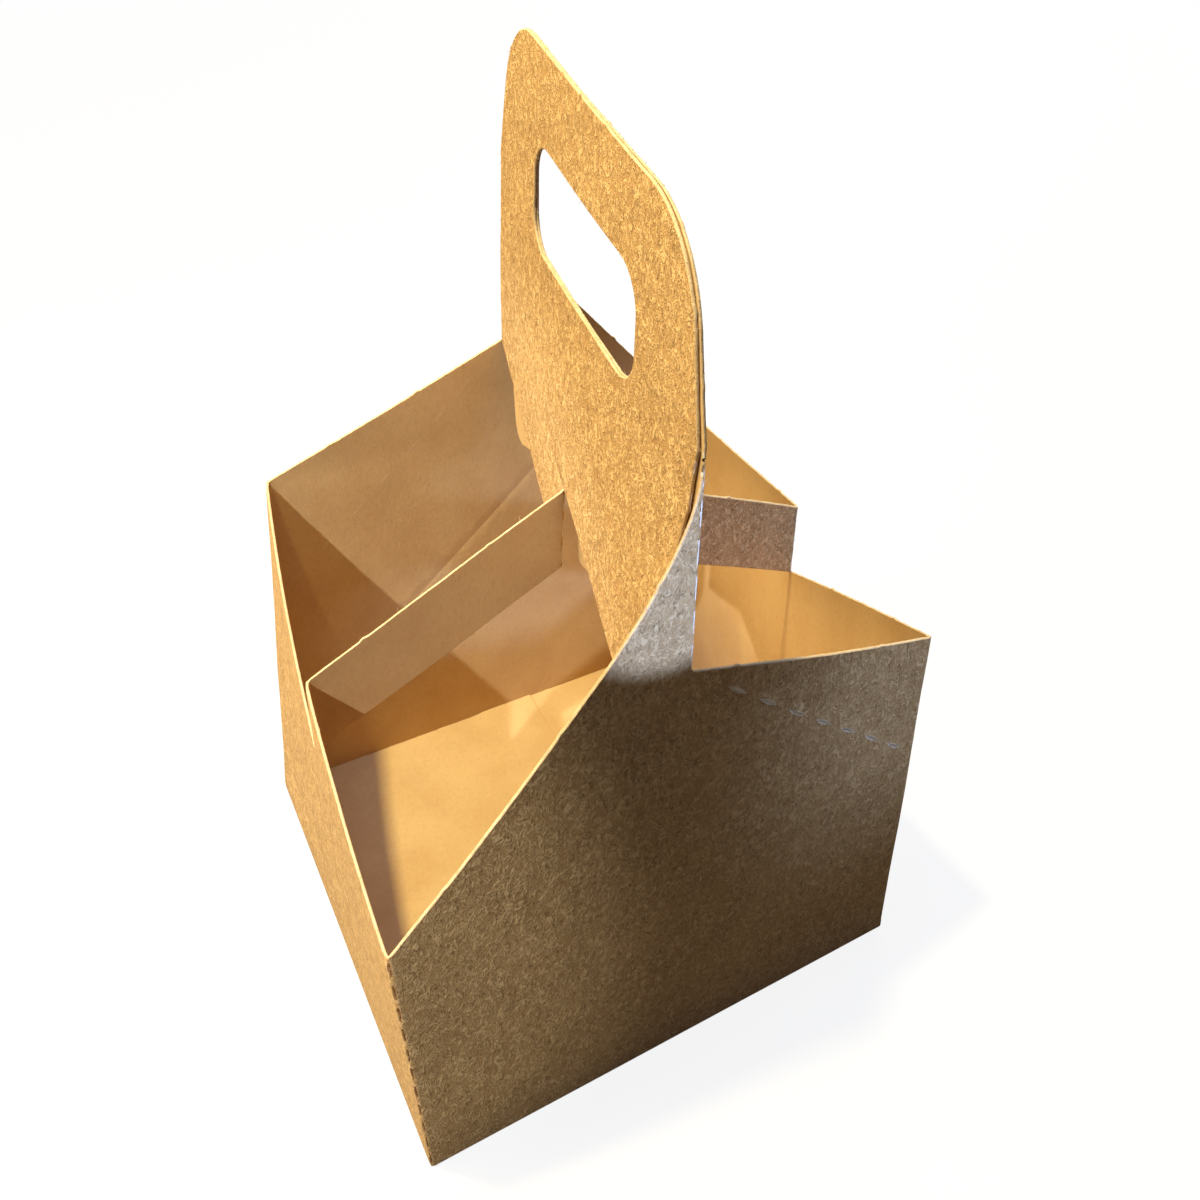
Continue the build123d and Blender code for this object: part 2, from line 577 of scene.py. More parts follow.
def meshed(panel):
    """Points, rises, cut edges' crushed widths and lips, and triangles of a panel."""
    loops = panel.loops()
    points, crushes, edges = boundary(panel)
    rises = [0.0] * len(points)
    crowd = Crowd(POINT_SPACING)
    for point in points:
        crowd.add(point)
    extra = score_points(panel) + lip_points(panel) + fold_points(panel) + grid_points(panel)
    kept = inside([point for point, rise, room in extra], loops)
    for (point, rise, room), keep in zip(extra, kept):
        if keep and crowd.is_clear(point, room):
            crowd.add(point)
            points.append(point)
            rises.append(rise)
            crushes.append(UNCUT)
    corners = [Vector(point) for point in points]
    flat, _, faces, sources, _, _ = delaunay_2d_cdt(corners, edges, [], WHOLE_HULL, MERGE_REACH, True)
    flat = [tuple(point) for point in flat]
    risen = [rises[source[0]] if source else 0.0 for source in sources]
    crushed = [crushes[source[0]] if source else UNCUT for source in sources]
    middles = [[sum(flat[i][k] for i in face) / 3 for k in (0, 1)] for face in faces]
    faces = [face for face, keep in zip(faces, inside(middles, loops)) if keep]
    faces = [face for face in faces if not is_sliver(panel, [flat[i] for i in face])]
    return flat, risen, crushed, faces


def gable_wall():
    """End wall: a slope up to the handle fold on one half, the cut edge on the other."""
    shoulder = (-shoulder_from_middle, shoulder_height)
    low_end = (-wall_x, low_corner)
    steepness = (shoulder_height - low_corner) / (wall_x - shoulder_from_middle)
    meeting = (ply_x, shoulder_height + steepness * (ply_x + shoulder_from_middle))
    outline = joined(
        line((-wall_x, 0), (wall_x, 0)),
        crease((wall_x, 0), (wall_x, tall_corner)),
        cut(line((wall_x, tall_corner), (ply_x, cut_start))),
        perforated((ply_x, cut_start), (ply_x, handle_fold_top), (-1, 0)),
        cut(joined(curve((ply_x, handle_fold_top), meeting, shoulder), line(shoulder, low_end))),
        perforated(low_end, (-wall_x, 0), (1, 0)),
    )
    folds = (
        Fold(0, wall_x, -1, 1, 0.0, tall_corner),
        Fold(0, -wall_x, 1, 1, 0.0, low_corner),
        Fold(0, ply_x, -1, 1, cut_start, handle_fold_top, is_frayed=True),
    )
    dashes = dash_slits((DASH_FROM, cut_start - DASH_FROM), (DASH_TO, cut_start - DASH_TO))
    return Panel((0, -wall_y, 0), (1, 0, 0), (0, 0, 1), outline, folds, dashes=dashes, scores=(GABLE_SCORE,))


def side_wall():
    """Side wall: a dipping half, from which the strap was cut, and a plain half."""
    outline = joined(
        line((-wall_y, 0), (-floor_y, 0)),
        crease((-floor_y, floor_z), (floor_y, floor_z)),
        line((floor_y, 0), (wall_y, 0)),
        list(reversed(perforated((wall_y, low_corner), (wall_y, 0), (-1, 0)))),
        cut(line((wall_y, low_corner), (0, strap_fold_top))),
        perforated((0, strap_fold_top), (0, strap_fold_foot), (1, 0)),
        cut(list(reversed(dip((-wall_y, tall_corner), 0, strap_fold_foot)))),
        list(reversed(crease((-wall_y, 0), (-wall_y, tall_corner)))),
    )
    folds = (
        Fold(0, -wall_y, 1, 1, 0.0, tall_corner),
        Fold(0, wall_y, -1, 1, 0.0, low_corner),
        Fold(0, 0.0, 1, 1, strap_fold_foot, strap_fold_top, is_frayed=True),
        Fold(1, floor_z, 1, 1, -floor_y, floor_y),
    )
    score = ((0.0, SIDE_SCORE_FOOT), (0.0, strap_fold_foot - SIDE_SCORE_BELOW_FOLD))
    return Panel((wall_x, 0, 0), (0, 1, 0), (0, 0, 1), outline, folds, scores=(score,))


def strap():
    """Band from the side wall up to the handle."""
    outline = joined(
        cut(dip((ply_x, strap_tip_foot), wall_x, strap_fold_foot)),
        list(reversed(perforated((wall_x, strap_fold_top), (wall_x, strap_fold_foot), (-1, 0)))),
        cut(list(reversed(dip((ply_x, strap_tip_top), wall_x, strap_fold_top)))),
        perforated((ply_x, strap_tip_top), (ply_x, strap_tip_foot), (1, 0)),
    )
    folds = (
        Fold(0, wall_x, -1, 1, strap_fold_foot, strap_fold_top, is_frayed=True),
        Fold(0, ply_x, 1, -1, strap_tip_foot, strap_tip_top, is_frayed=True),
    )
    return Panel((0, 0, 0), (1, 0, 0), (0, 0, 1), outline, folds)


def strap_tab():
    """End of the strap, turned along the handle and glued to the other ply."""
    rise = slope * tab_length
    outline = joined(
        line((-tab_length, strap_tip_foot + rise), (0, strap_tip_foot)),
        list(reversed(perforated((0, strap_tip_top), (0, strap_tip_foot), (-1, 0)))),
        line((0, strap_tip_top), (-tab_length, strap_tip_top + rise)),
        line((-tab_length, strap_tip_top + rise), (-tab_length, strap_tip_foot + rise)),
    )
    folds = (Fold(0, 0.0, -1, -1, strap_tip_foot, strap_tip_top, is_frayed=True),)
    return Panel((ply_x, 0, 0), (0, 1, 0), (0, 0, 1), outline, folds, is_tight=lambda point: True)


def strap_foot_at(x):
    """Height of the strap's lower edge, at a distance across the carrier from its middle."""
    run = wall_x - ply_x
    sag = (strap_tip_foot - slope * run - strap_fold_foot) / run ** 2
    return strap_tip_foot - slope * (x - ply_x) - sag * (x - ply_x) ** 2


def handle_ply():
    """One ply of the handle, from its fold on the gable wall to its free end."""
    step = -tab_length - kerf
    step_foot = (step, cut_start - slope * (step + wall_y))
    lip_bend = (ply_lip_past_fold, strap_tip_foot + strap_height + kerf - slope * ply_lip_past_fold)
    step_top = (step, lip_bend[1] + slope * (lip_bend[0] - step))
    free_y = half_length - free_end_clearance
    free_foot = (free_y, strap_foot_at(free_y) + strap_height + kerf)
    free_shoulder = (half_length - free_shoulder_clearance, handle_fold_top)
    half_top = handle_top_width / 2
    far_corner = (half_top, handle_height)
    near_corner = (-half_top, handle_height)
    fold_top = (-wall_y, handle_fold_top)
    under = dip(lip_bend, free_foot[0], free_foot[1])
    under = [point for point in under if math.dist(point, free_foot) > free_end_radius]
    foot_round = rounded(under[-1], free_foot, free_shoulder, free_end_radius)
    far_round = rounded(free_shoulder, far_corner, near_corner, handle_corner_radius)
    near_round = rounded(far_corner, near_corner, fold_top, handle_corner_radius)
    free_end = joined(under, foot_round, line(foot_round[-1], free_shoulder))
    head = joined(
        line(free_shoulder, far_round[0]),
        far_round,
        line(far_round[-1], near_round[0]),
        near_round,
        line(near_round[-1], fold_top),
    )
    outline = joined(
        line((-wall_y, cut_start), step_foot),
        line(step_foot, step_top),
        line(step_top, lip_bend),
        cut(free_end),
        cut(head),
        list(reversed(perforated((-wall_y, cut_start), fold_top, (1, 0)))),
    )
    folds = (Fold(0, -wall_y, 1, 1, cut_start, handle_fold_top, is_frayed=True),)

    def is_tight(point):
        """Whether a point lies on the notch that the strap's tab fills."""
        is_beside_tab = step - TIGHT_SLACK <= point[0] <= lip_bend[0] + TIGHT_SLACK
        return is_beside_tab and point[1] <= step_top[1] + TIGHT_SLACK

    return Panel((ply_x, 0, 0), (0, 1, 0), (0, 0, 1), outline, folds, holes=[hand_hole()], is_tight=is_tight)


def hand_hole():
    """Rounded hole for the fingers."""
    half_across = hole_length / 2
    half_up = hole_height / 2
    corners = [
        (half_across, hole_middle + half_up),
        (-half_across, hole_middle + half_up),
        (-half_across, hole_middle - half_up),
        (half_across, hole_middle - half_up),
    ]
    arcs = []
    for i, corner in enumerate(corners):
        arcs.append(rounded(corners[i - 1], corner, corners[(i + 1) % 4], hole_corner_radius))
    runs = []
    for i, arc in enumerate(arcs):
        runs += [arc, line(arc[-1], arcs[(i + 1) % 4][0])]
    return joined(*runs)


def floor_panel(past_middle, lift=None):
    """Floor panel turned in from the foot of a side wall."""
    outline = joined(
        cut(line((-floor_y, -past_middle), (floor_y, -past_middle))),
        cut(line((floor_y, -past_middle), (floor_y, wall_x))),
        list(reversed(crease((-floor_y, wall_x), (floor_y, wall_x)))),
        cut(line((-floor_y, wall_x), (-floor_y, -past_middle))),
    )
    folds = (Fold(1, wall_x, -1, 1, -floor_y, floor_y),)
    return Panel((0, 0, floor_z), (0, 1, 0), (1, 0, 0), outline, folds, lift=lift)


def over_lower_panel(point):
    """Height of the upper floor panel where it steps over the lower one."""
    start = right_panel_past_middle + joggle_clearance + joggle_run
    return board * clip((start - point[1]) / joggle_run)


def settled(point, splays):
    """A point of the folded board moved to where it stands on the settled carrier."""
    x, y, z = point
    u = clip(x / half_width, -1.0, 1.0)
    v = clip(y / half_length, -1.0, 1.0)
    rise = min(z / tall_corner, 1.0)
    dx = 0.0
    dy = 0.0
    for (side, end), lean in CORNER_LEAN.items():
        share = (1 + side * u) * (1 + end * v) / 4
        foot = FOOT_SHIFT[(side, end)]
        dx += share * (rise * lean[0] + (1 - rise) * foot[0])
        dy += share * (rise * lean[1] + (1 - rise) * foot[1])
    dx += (1 - v ** 2) * rise * u * (LEFT_WALL_BOW if u < 0 else RIGHT_WALL_BOW)
    dy += (1 - u ** 2) * rise * v * (FRONT_GABLE_BOW if v < 0 else BACK_GABLE_BOW)
    head = clip((z - tall_corner) / (handle_fold_top - tall_corner), 0.0, HEAD_LEAN_LIMIT)
    dy -= head * v * (FRONT_HEAD_LEAN if v < 0 else BACK_HEAD_LEAN)
    q = (z - cut_start) / (handle_height - cut_start)
    sway = HANDLE_SWAY + HANDLE_YAW * v + HANDLE_TILT * q + HANDLE_TWIST * v * q
    sway += HANDLE_CURL * v ** 2 + HANDLE_ARCH * q ** 2
    dx += clip(z / cut_start) * (1 - abs(u)) * sway
    if splays:
        apart = clip((SPLAY_FROM - z) / SPLAY_RUN)
        apart *= clip((1 - v) / SPLAY_END_RUN)
        apart *= clip(1 + SPLAY_SIDE_FADE * u)
        dx -= PLY_SPLAY * apart
    return Vector((x + dx, y + dy, z))


def panels():
    """Every panel of the blank, with whether it is half a turn round and whether it splays."""
    half = [gable_wall, side_wall, strap, strap_tab, handle_ply]
    splaying = (strap, strap_tab, handle_ply)
    made = []
    for turned in (False, True):
        for make in half:
            made.append((make(), turned, turned and make in splaying))
    made.append((floor_panel(right_panel_past_middle), False, False))
    made.append((floor_panel(left_panel_past_middle, over_lower_panel), True, False))
    return made


def waviness(point):
    """Slight unevenness of the board, with none along its foot."""
    if point.z <= FOOT_STRIP:
        return 0.0
    broad = noise.noise(Vector(point) / BROAD_WAVE_RUN)
    small = noise.noise(Vector(point) / SMALL_WAVE_RUN + SMALL_WAVE_FROM)
    return BROAD_WAVE_HEIGHT * broad + SMALL_WAVE_HEIGHT * small


def middle_surface():
    """Points, rises, crushed widths and triangles of the whole settled board, joined along its folds."""
    points = []
    rises = []
    crushes = []
    faces = []
    shared = {}
    for panel, turned, splays in panels():
        flat, risen, crushed, triangles = meshed(panel)
        index = []
        for at, rise, crush in zip(flat, risen, crushed):
            stood = panel.place(at)
            if turned:
                stood = Vector((-stood.x, -stood.y, stood.z))
            key = tuple(round(c, 2) for c in stood) if panel.is_near_fold(at, ON_FOLD) else None
            if key in shared:
                index.append(shared[key])
                continue
            if key is not None:
                shared[key] = len(points)
            index.append(len(points))
            points.append(settled(stood, splays))
            crushes.append(crush)
            rises.append(rise + waviness(stood))
        faces += [tuple(index[i] for i in triangle) for triangle in triangles]
    return points, rises, crushes, faces


def surface_normals(points, faces):
    """Mean direction of the outer face at each point."""
    totals = [Vector((0, 0, 0)) for _ in points]
    for a, b, c in faces:
        across = (points[b] - points[a]).cross(points[c] - points[a])
        for i in (a, b, c):
            totals[i] += across
    return [total.normalized() for total in totals]


def cut_edges(faces):
    """Edges that only one triangle has, in that triangle's order."""
    count = {}
    for face in faces:
        for start, end in zip(face, face[1:] + face[:1]):
            count.setdefault(frozenset((start, end)), []).append((start, end))
    return [uses[0] for uses in count.values() if len(uses) == 1]


def cut_insets(points, normals, edges):
    """Direction from each point of a cut edge into its panel."""
    insets = {}
    for start, end in edges:
        along = (points[end] - points[start]).normalized()
        for i in (start, end):
            insets[i] = insets.get(i, Vector((0, 0, 0))) + normals[i].cross(along)
    return {i: total.normalized() for i, total in insets.items()}


def rim_finish(first, second):
    """Finish of a cut between two points, by how widely each is crushed."""
    # Sharp cuts take the outer face's brown rather than the pale cut colour. At the slits of the plain
    # corner folds this is painted shade, which makes the slits read dark.
    if first == second == SHARP_CUT:
        return OUTER_FACE
    if {first, second} <= {DASH_CRUSH, FRAYED_CUT}:
        return TORN_FACE
    return CUT_FACE


def carrier_board_mesh(points, normals, crushes, faces, edges):
    """The board with its thickness: outer face, inner face and cut edges that the die has crushed."""
    insets = cut_insets(points, normals, edges)
    bm = bmesh.new()
    outer = []
    inner = []
    outer_rim = {}
    inner_rim = {}
    for i, (point, normal) in enumerate(zip(points, normals)):
        inset = insets.get(i)
        half = normal * board / 2
        if inset is None:
            outer.append(bm.verts.new((point + half) * MM))
            inner.append(bm.verts.new((point - half) * MM))
            continue
        outside, lip = crushes[i]
        within = SHARP_CUT if outside > PLAIN_CUT else outside
        raised = point + half + normal * lip
        outer.append(bm.verts.new((raised + inset * OUTER_CRUSH[0] * outside) * MM))
        inner.append(bm.verts.new((point - half + inset * INNER_CRUSH[0] * within) * MM))
        outer_rim[i] = bm.verts.new((raised - normal * OUTER_CRUSH[1] * min(PLAIN_CUT, outside)) * MM)
        inner_rim[i] = bm.verts.new((point - half + normal * INNER_CRUSH[1] * within) * MM)
    for face in faces:
        bm.faces.new([outer[i] for i in face]).material_index = OUTER_FACE
        bm.faces.new([inner[i] for i in reversed(face)]).material_index = INNER_FACE
    for start, end in edges:
        for high, low in ((outer, outer_rim), (outer_rim, inner_rim), (inner_rim, inner)):
            rim = bm.faces.new([high[end], high[start], low[start], low[end]])
            rim.material_index = rim_finish(crushes[start][0], crushes[end][0])
    loose = [vert for vert in bm.verts if not vert.link_faces]
    bmesh.ops.delete(bm, geom=loose, context="VERTS")
    for face in bm.faces:
        face.smooth = True
    for edge in bm.edges:
        if len({face.material_index for face in edge.link_faces}) > 1:
            edge.smooth = False
    return finished_mesh(bm, "carrier_board_mesh")


def finished_mesh(bm, name):
    """A mesh made from a bmesh, which is freed."""
    mesh = bpy.data.meshes.new(name)
    bm.to_mesh(mesh)
    bm.free()
    return mesh


def hair(bm, root, direction, bend, length):
    """A single loose fibre, tapering to a point."""
    direction = direction.normalized()
    side = direction.orthogonal().normalized()
    other = direction.cross(side)
    rings = []
    for t in HAIR_RINGS:
        middle = root + direction * length * t + bend * length * t * t
        size = HAIR_RADIUS * (1 - HAIR_TAPER * t)
        ring = []
        for k in range(HAIR_SIDES):
            angle = 2 * math.pi * k / HAIR_SIDES
            around = (side * math.cos(angle) + other * math.sin(angle)) * size
            ring.append(bm.verts.new((middle + around) * MM))
        rings.append(ring)
    tip = bm.verts.new((root + direction * length + bend * length) * MM)
    following = [(k + 1) % HAIR_SIDES for k in range(HAIR_SIDES)]
    for low, high in zip(rings, rings[1:]):
        for k, after in enumerate(following):
            bm.faces.new([low[k], low[after], high[after], high[k]])
    for k, after in enumerate(following):
        bm.faces.new([rings[-1][k], rings[-1][after], tip])
    bm.faces.new(list(reversed(rings[0])))


def random_direction():
    """A direction drawn at random."""
    return Vector((rng.uniform(-1, 1), rng.uniform(-1, 1), rng.uniform(-1, 1)))


def edge_fibres_mesh(points, normals, edges):
    """Loose fibres torn up along the cut edges."""
    bm = bmesh.new()
    for start, end in rng.sample(edges, EDGE_HAIRS):
        if points[start].z < FOOT_STRIP:
            continue
        normal = normals[start]
        along = (points[end] - points[start]).normalized()
        out = along.cross(normal)
        root = points[start].lerp(points[end], rng.random())
        root += normal * rng.uniform(-EDGE_HAIR_SPREAD, EDGE_HAIR_SPREAD)
        direction = out * EDGE_HAIR_OUT
        direction += along * rng.uniform(-EDGE_HAIR_ALONG, EDGE_HAIR_ALONG)
        direction += normal * rng.uniform(-EDGE_HAIR_TILT, EDGE_HAIR_TILT)
        bend = random_direction() * EDGE_HAIR_BEND
        hair(bm, root - out * EDGE_HAIR_ROOT, direction, bend, rng.uniform(*EDGE_HAIR_LENGTH))
    return finished_mesh(bm, "edge_fibres_mesh")


def face_fibres_mesh(points, normals, faces):
    """Fibres that lie loose on the rough outer face."""
    bm = bmesh.new()
    for face in rng.sample(faces, FACE_HAIRS):
        normal = normals[face[0]]
        middle = (points[face[0]] + points[face[1]] + points[face[2]]) / 3
        if middle.z < FOOT_STRIP:
            continue
        along = normal.cross(random_direction()).normalized()
        bend = along.cross(normal) * rng.uniform(-FACE_HAIR_BEND, FACE_HAIR_BEND)
        root = middle + normal * (board / 2 - FACE_HAIR_ROOT)
        hair(bm, root, along + normal * FACE_HAIR_LIFT, bend, rng.uniform(*FACE_HAIR_LENGTH))
    return finished_mesh(bm, "face_fibres_mesh")


def piece(name, mesh, *materials):
    """A piece of the carrier, riding with it."""
    for material in materials:
        mesh.materials.append(material)
    made = bpy.data.objects.new(name, mesh)
    bpy.context.scene.collection.objects.link(made)
    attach(made, BODY)
    return made


def fill(tree, socket, value):
    """Links an input to a value's socket, or sets it to a plain value."""
    if isinstance(value, bpy.types.NodeSocket):
        tree.links.new(value, socket)
    else:
        socket.default_value = value


def node(tree, kind, **inputs):
    """A shader node with its inputs filled."""
    made = tree.nodes.new(kind)
    for name, value in inputs.items():
        fill(tree, made.inputs[name.replace("_", " ")], value)
    return made


def ramp(tree, value, low, high):
    """A value stretched smoothly between two limits."""
    made = node(tree, "ShaderNodeMapRange", Value=value, From_Min=low, From_Max=high)
    made.interpolation_type = "SMOOTHSTEP"
    return made.outputs["Result"]


def blended(tree, share, first, second):
    """Two colours mixed by a share."""
    made = tree.nodes.new("ShaderNodeMix")
    made.data_type = "RGBA"
    for socket, value in ((made.inputs[0], share), (made.inputs[6], first), (made.inputs[7], second)):
        fill(tree, socket, value)
    return made.outputs[2]


def combined(tree, operation, first, second=0.0):
    """Two values put together by an operation."""
    made = tree.nodes.new("ShaderNodeMath")
    made.operation = operation
    fill(tree, made.inputs[0], first)
    fill(tree, made.inputs[1], second)
    return made.outputs[0]


def vector_node(tree, operation, first, second=(0, 0, 0)):
    """A node that works on one or two vectors."""
    made = tree.nodes.new("ShaderNodeVectorMath")
    made.operation = operation
    fill(tree, made.inputs[0], first)
    fill(tree, made.inputs[1], second)
    return made


def mixed_shader(tree, share, first, second):
    """Two shaders mixed by a share."""
    made = tree.nodes.new("ShaderNodeMixShader")
    for socket, value in zip(made.inputs, (share, first.outputs[0], second.outputs[0])):
        tree.links.new(value, socket)
    return made.outputs[0]


def speckle(tree, where, scale, detail, distortion=0.0):
    """A noise over the board."""
    made = node(tree, "ShaderNodeTexNoise", Vector=where, Scale=scale, Detail=detail, Distortion=distortion)
    return made.outputs["Fac"]


def threads(tree, value, faint, full):
    """Thin winding lines where a noise passes its middle."""
    off_middle = combined(tree, "ABSOLUTE", combined(tree, "SUBTRACT", value, 0.5))
    return ramp(tree, off_middle, faint, full)


def pulp_fibres_group():
    """Fibres, flecks and cloudiness of pulp, by place on the board."""
    tree = bpy.data.node_groups.new("pulp_fibres", "ShaderNodeTree")
    for name in ("Fibre Scale", "Cloud Scale"):
        tree.interface.new_socket(name, in_out="INPUT", socket_type="NodeSocketFloat")
    for name in ("Fibres", "Flecks", "Clouds", "Tooth"):
        tree.interface.new_socket(name, in_out="OUTPUT", socket_type="NodeSocketFloat")
    given = tree.nodes.new("NodeGroupInput")
    result = tree.nodes.new("NodeGroupOutput")
    place = tree.nodes.new("ShaderNodeTexCoord").outputs["Object"]
    where = vector_node(tree, "MULTIPLY", place, FIBRE_STRETCH).outputs["Vector"]
    fibre_scale = given.outputs["Fibre Scale"]

    def finer(times):
        """The fibres' scale times a number."""
        return combined(tree, "MULTIPLY", fibre_scale, times)

    strand_noise = speckle(tree, where, fibre_scale, detail=2.5, distortion=1.8)
    strands = threads(tree, strand_noise, faint=0.085, full=0.015)
    breaks = ramp(tree, speckle(tree, where, finer(1.4), detail=1.0), low=0.36, high=0.54)
    broken_strands = combined(tree, "MULTIPLY", strands, breaks)
    thin_noise = speckle(tree, where, finer(2.3), detail=1.0, distortion=1.4)
    thin_strands = threads(tree, thin_noise, faint=0.09, full=0.02)
    thin_strands = combined(tree, "MULTIPLY", thin_strands, THIN_STRAND_SHARE)
    fibres = combined(tree, "MAXIMUM", broken_strands, thin_strands)
    fleck_noise = speckle(tree, where, finer(1.6), detail=2.0, distortion=1.0)
    flecks = ramp(tree, fleck_noise, low=0.54, high=0.66)
    cloud_noise = speckle(tree, where, given.outputs["Cloud Scale"], detail=6.0)
    clouds = ramp(tree, cloud_noise, low=0.32, high=0.68)
    grain = speckle(tree, where, finer(2.2), detail=4.0, distortion=0.6)
    lumps = speckle(tree, where, finer(0.7), detail=1.0)
    tooth = combined(tree, "ADD", combined(tree, "MULTIPLY", grain, GRAIN_SHARE), fibres)
    tooth = combined(tree, "ADD", tooth, lumps)
    for name, value in (("Fibres", fibres), ("Flecks", flecks), ("Clouds", clouds), ("Tooth", tooth)):
        tree.links.new(value, result.inputs[name])
    return tree


def kraft(name, pulp_group, dark, light, fibre, fleck, fibre_scale, cloud_scale, roughness, specular,
          fibre_share, fleck_share, relief):
    """A kraft board finish: cloudy brown with paler fibres, darker flecks and a toothy surface."""
    smooth, rough = roughness
    material = bpy.data.materials.new(name)
    material.use_nodes = True
    tree = material.node_tree
    shader = tree.nodes["Principled BSDF"]
    pulp = tree.nodes.new("ShaderNodeGroup")
    pulp.node_tree = pulp_group
    pulp.inputs["Fibre Scale"].default_value = fibre_scale
    pulp.inputs["Cloud Scale"].default_value = cloud_scale
    colour = blended(tree, pulp.outputs["Clouds"], dark, light)
    fleck_mask = combined(tree, "MULTIPLY", pulp.outputs["Flecks"], fleck_share)
    colour = blended(tree, fleck_mask, colour, fleck)
    fibre_mask = combined(tree, "MULTIPLY", pulp.outputs["Fibres"], fibre_share)
    colour = blended(tree, fibre_mask, colour, fibre)
    tree.links.new(colour, shader.inputs["Base Color"])
    dullness = node(tree, "ShaderNodeMapRange", Value=pulp.outputs["Tooth"], To_Min=smooth, To_Max=rough)
    tree.links.new(dullness.outputs["Result"], shader.inputs["Roughness"])
    shader.inputs["Specular IOR Level"].default_value = specular
    bump = node(tree, "ShaderNodeBump", Strength=relief, Distance=RELIEF_DEPTH, Height=pulp.outputs["Tooth"])
    tree.links.new(bump.outputs["Normal"], shader.inputs["Normal"])
    return material


def seen_rays(tree):
    """Rays from the camera, straight or by way of a gloss or a clear surface."""
    path = tree.nodes.new("ShaderNodeLightPath")
    straight = combined(tree, "MAXIMUM", path.outputs["Is Camera Ray"], path.outputs["Is Glossy Ray"])
    return combined(tree, "MAXIMUM", straight, path.outputs["Is Transmission Ray"])


def studio_floor():
    """Pale floor that reads as white and keeps the carrier's shadow."""
    mesh = bpy.data.meshes.new("studio_floor_mesh")
    sides = ((-1, -1), (1, -1), (1, 1), (-1, 1))
    corners = [(FLOOR_REACH * x, FLOOR_REACH * y, -FLOOR_BELOW) for x, y in sides]
    mesh.from_pydata(corners, [], [(0, 1, 2, 3)])
    material = bpy.data.materials.new("studio_floor")
    material.use_nodes = True
    tree = material.node_tree
    tree.nodes.clear()
    seen = seen_rays(tree)
    matt = node(tree, "ShaderNodeBsdfDiffuse", Color=blended(tree, seen, FLOOR_BOUNCE, FLOOR_TONE))
    white = node(tree, "ShaderNodeEmission", Color=WHITE, Strength=1.0)
    where = tree.nodes.new("ShaderNodeTexCoord").outputs["Object"]
    away = vector_node(tree, "LENGTH", where).outputs["Value"]
    far = ramp(tree, away, FLOOR_SHADOW_REACH, FLOOR_WHITE_FROM)
    glow = node(tree, "ShaderNodeMapRange", Value=far, To_Min=FLOOR_GLOW, To_Max=1.0)
    share = combined(tree, "MULTIPLY", seen, glow.outputs["Result"])
    result = tree.nodes.new("ShaderNodeOutputMaterial")
    tree.links.new(mixed_shader(tree, share, matt, white), result.inputs["Surface"])
    mesh.materials.append(material)
    made = bpy.data.objects.new("studio_floor", mesh)
    bpy.context.scene.collection.objects.link(made)


def studio_world():
    """White surroundings for the camera, and a low even light for the carrier."""
    world = bpy.data.worlds.new("studio_world")
    world.use_nodes = True
    tree = world.node_tree
    tree.nodes.clear()
    even = node(tree, "ShaderNodeBackground", Color=WORLD_TONE, Strength=WORLD_LEVEL)
    white = node(tree, "ShaderNodeBackground", Color=WHITE, Strength=1.0)
    result = tree.nodes.new("ShaderNodeOutputWorld")
    tree.links.new(mixed_shader(tree, seen_rays(tree), even, white), result.inputs["Surface"])
    bpy.context.scene.world = world


def hang_lamp(data, at, aim, power, colour):
    """A lamp at a place, aimed at a point; metres."""
    data.energy = power
    data.color = colour
    lamp = bpy.data.objects.new(data.name, data)
    lamp.location = at
    lamp.rotation_euler = (Vector(aim) - Vector(at)).to_track_quat("-Z", "Y").to_euler()
    lamp.visible_camera = False
    bpy.context.scene.collection.objects.link(lamp)


def soft_lamp(name, at, aim, size, power, colour):
    """A square soft lamp aimed at a point; metres."""
    data = bpy.data.lights.new(name, "AREA")
    data.shape = "SQUARE"
    data.size = size
    hang_lamp(data, at, aim, power, colour)


def pool_lamp(name, at, aim, angle, softness, power, colour, size=POOL_LAMP_SIZE):
    """A lamp with a soft round pool of light; metres, and degrees across the pool."""
    data = bpy.data.lights.new(name, "SPOT")
    data.spot_size = math.radians(angle)
    data.spot_blend = softness
    data.shadow_soft_size = size
    hang_lamp(data, at, aim, power, colour)


def studio_lamps():
    """Warm light from the left and above, cool pools in front, a cool ceiling and a fill from behind."""
    soft_lamp(
        "left_window", at=(-0.75, 0.15, 0.50), aim=(0.0, 0.02, 0.15),
        size=0.35, power=5.9, colour=(1.0, 0.82, 0.53),
    )
    soft_lamp(
        "top_window", at=(-0.24, 0.04, 1.15), aim=(-0.02, 0.03, 0.05),
        size=0.05, power=16.2, colour=(1.0, 0.90, 0.50),
    )
    soft_lamp(
        "back_fill", at=(0.75, 0.85, 0.60), aim=(0.0, 0.0, 0.14),
        size=0.50, power=7.0, colour=(1.0, 0.96, 0.90),
    )
    pool_lamp(
        "front_left_sky", at=(-0.9126, -0.5953, 1.1817), aim=(-0.0811, 0.1301, 0.0137),
        angle=15.35, softness=0.10, power=77.0, colour=(0.86, 0.92, 1.0), size=0.014,
    )
    pool_lamp(
        "hinge_pool", at=(0.03, -0.55, 0.25), aim=(-0.008, -0.082, 0.222),
        angle=7.1, softness=0.15, power=21.0, colour=(0.30, 0.46, 1.0), size=0.004,
    )
    pool_lamp(
        "right_pool", at=(0.30, -0.60, 0.55), aim=(0.095, -0.04, 0.140),
        angle=15.0, softness=0.9, power=17.0, colour=(0.38, 0.54, 1.0),
    )
    soft_lamp(
        "ceiling", at=(-0.05, -0.05, 1.25), aim=(0.0, 0.0, 0.05),
        size=0.30, power=5.8, colour=(0.45, 0.62, 1.0),
    )


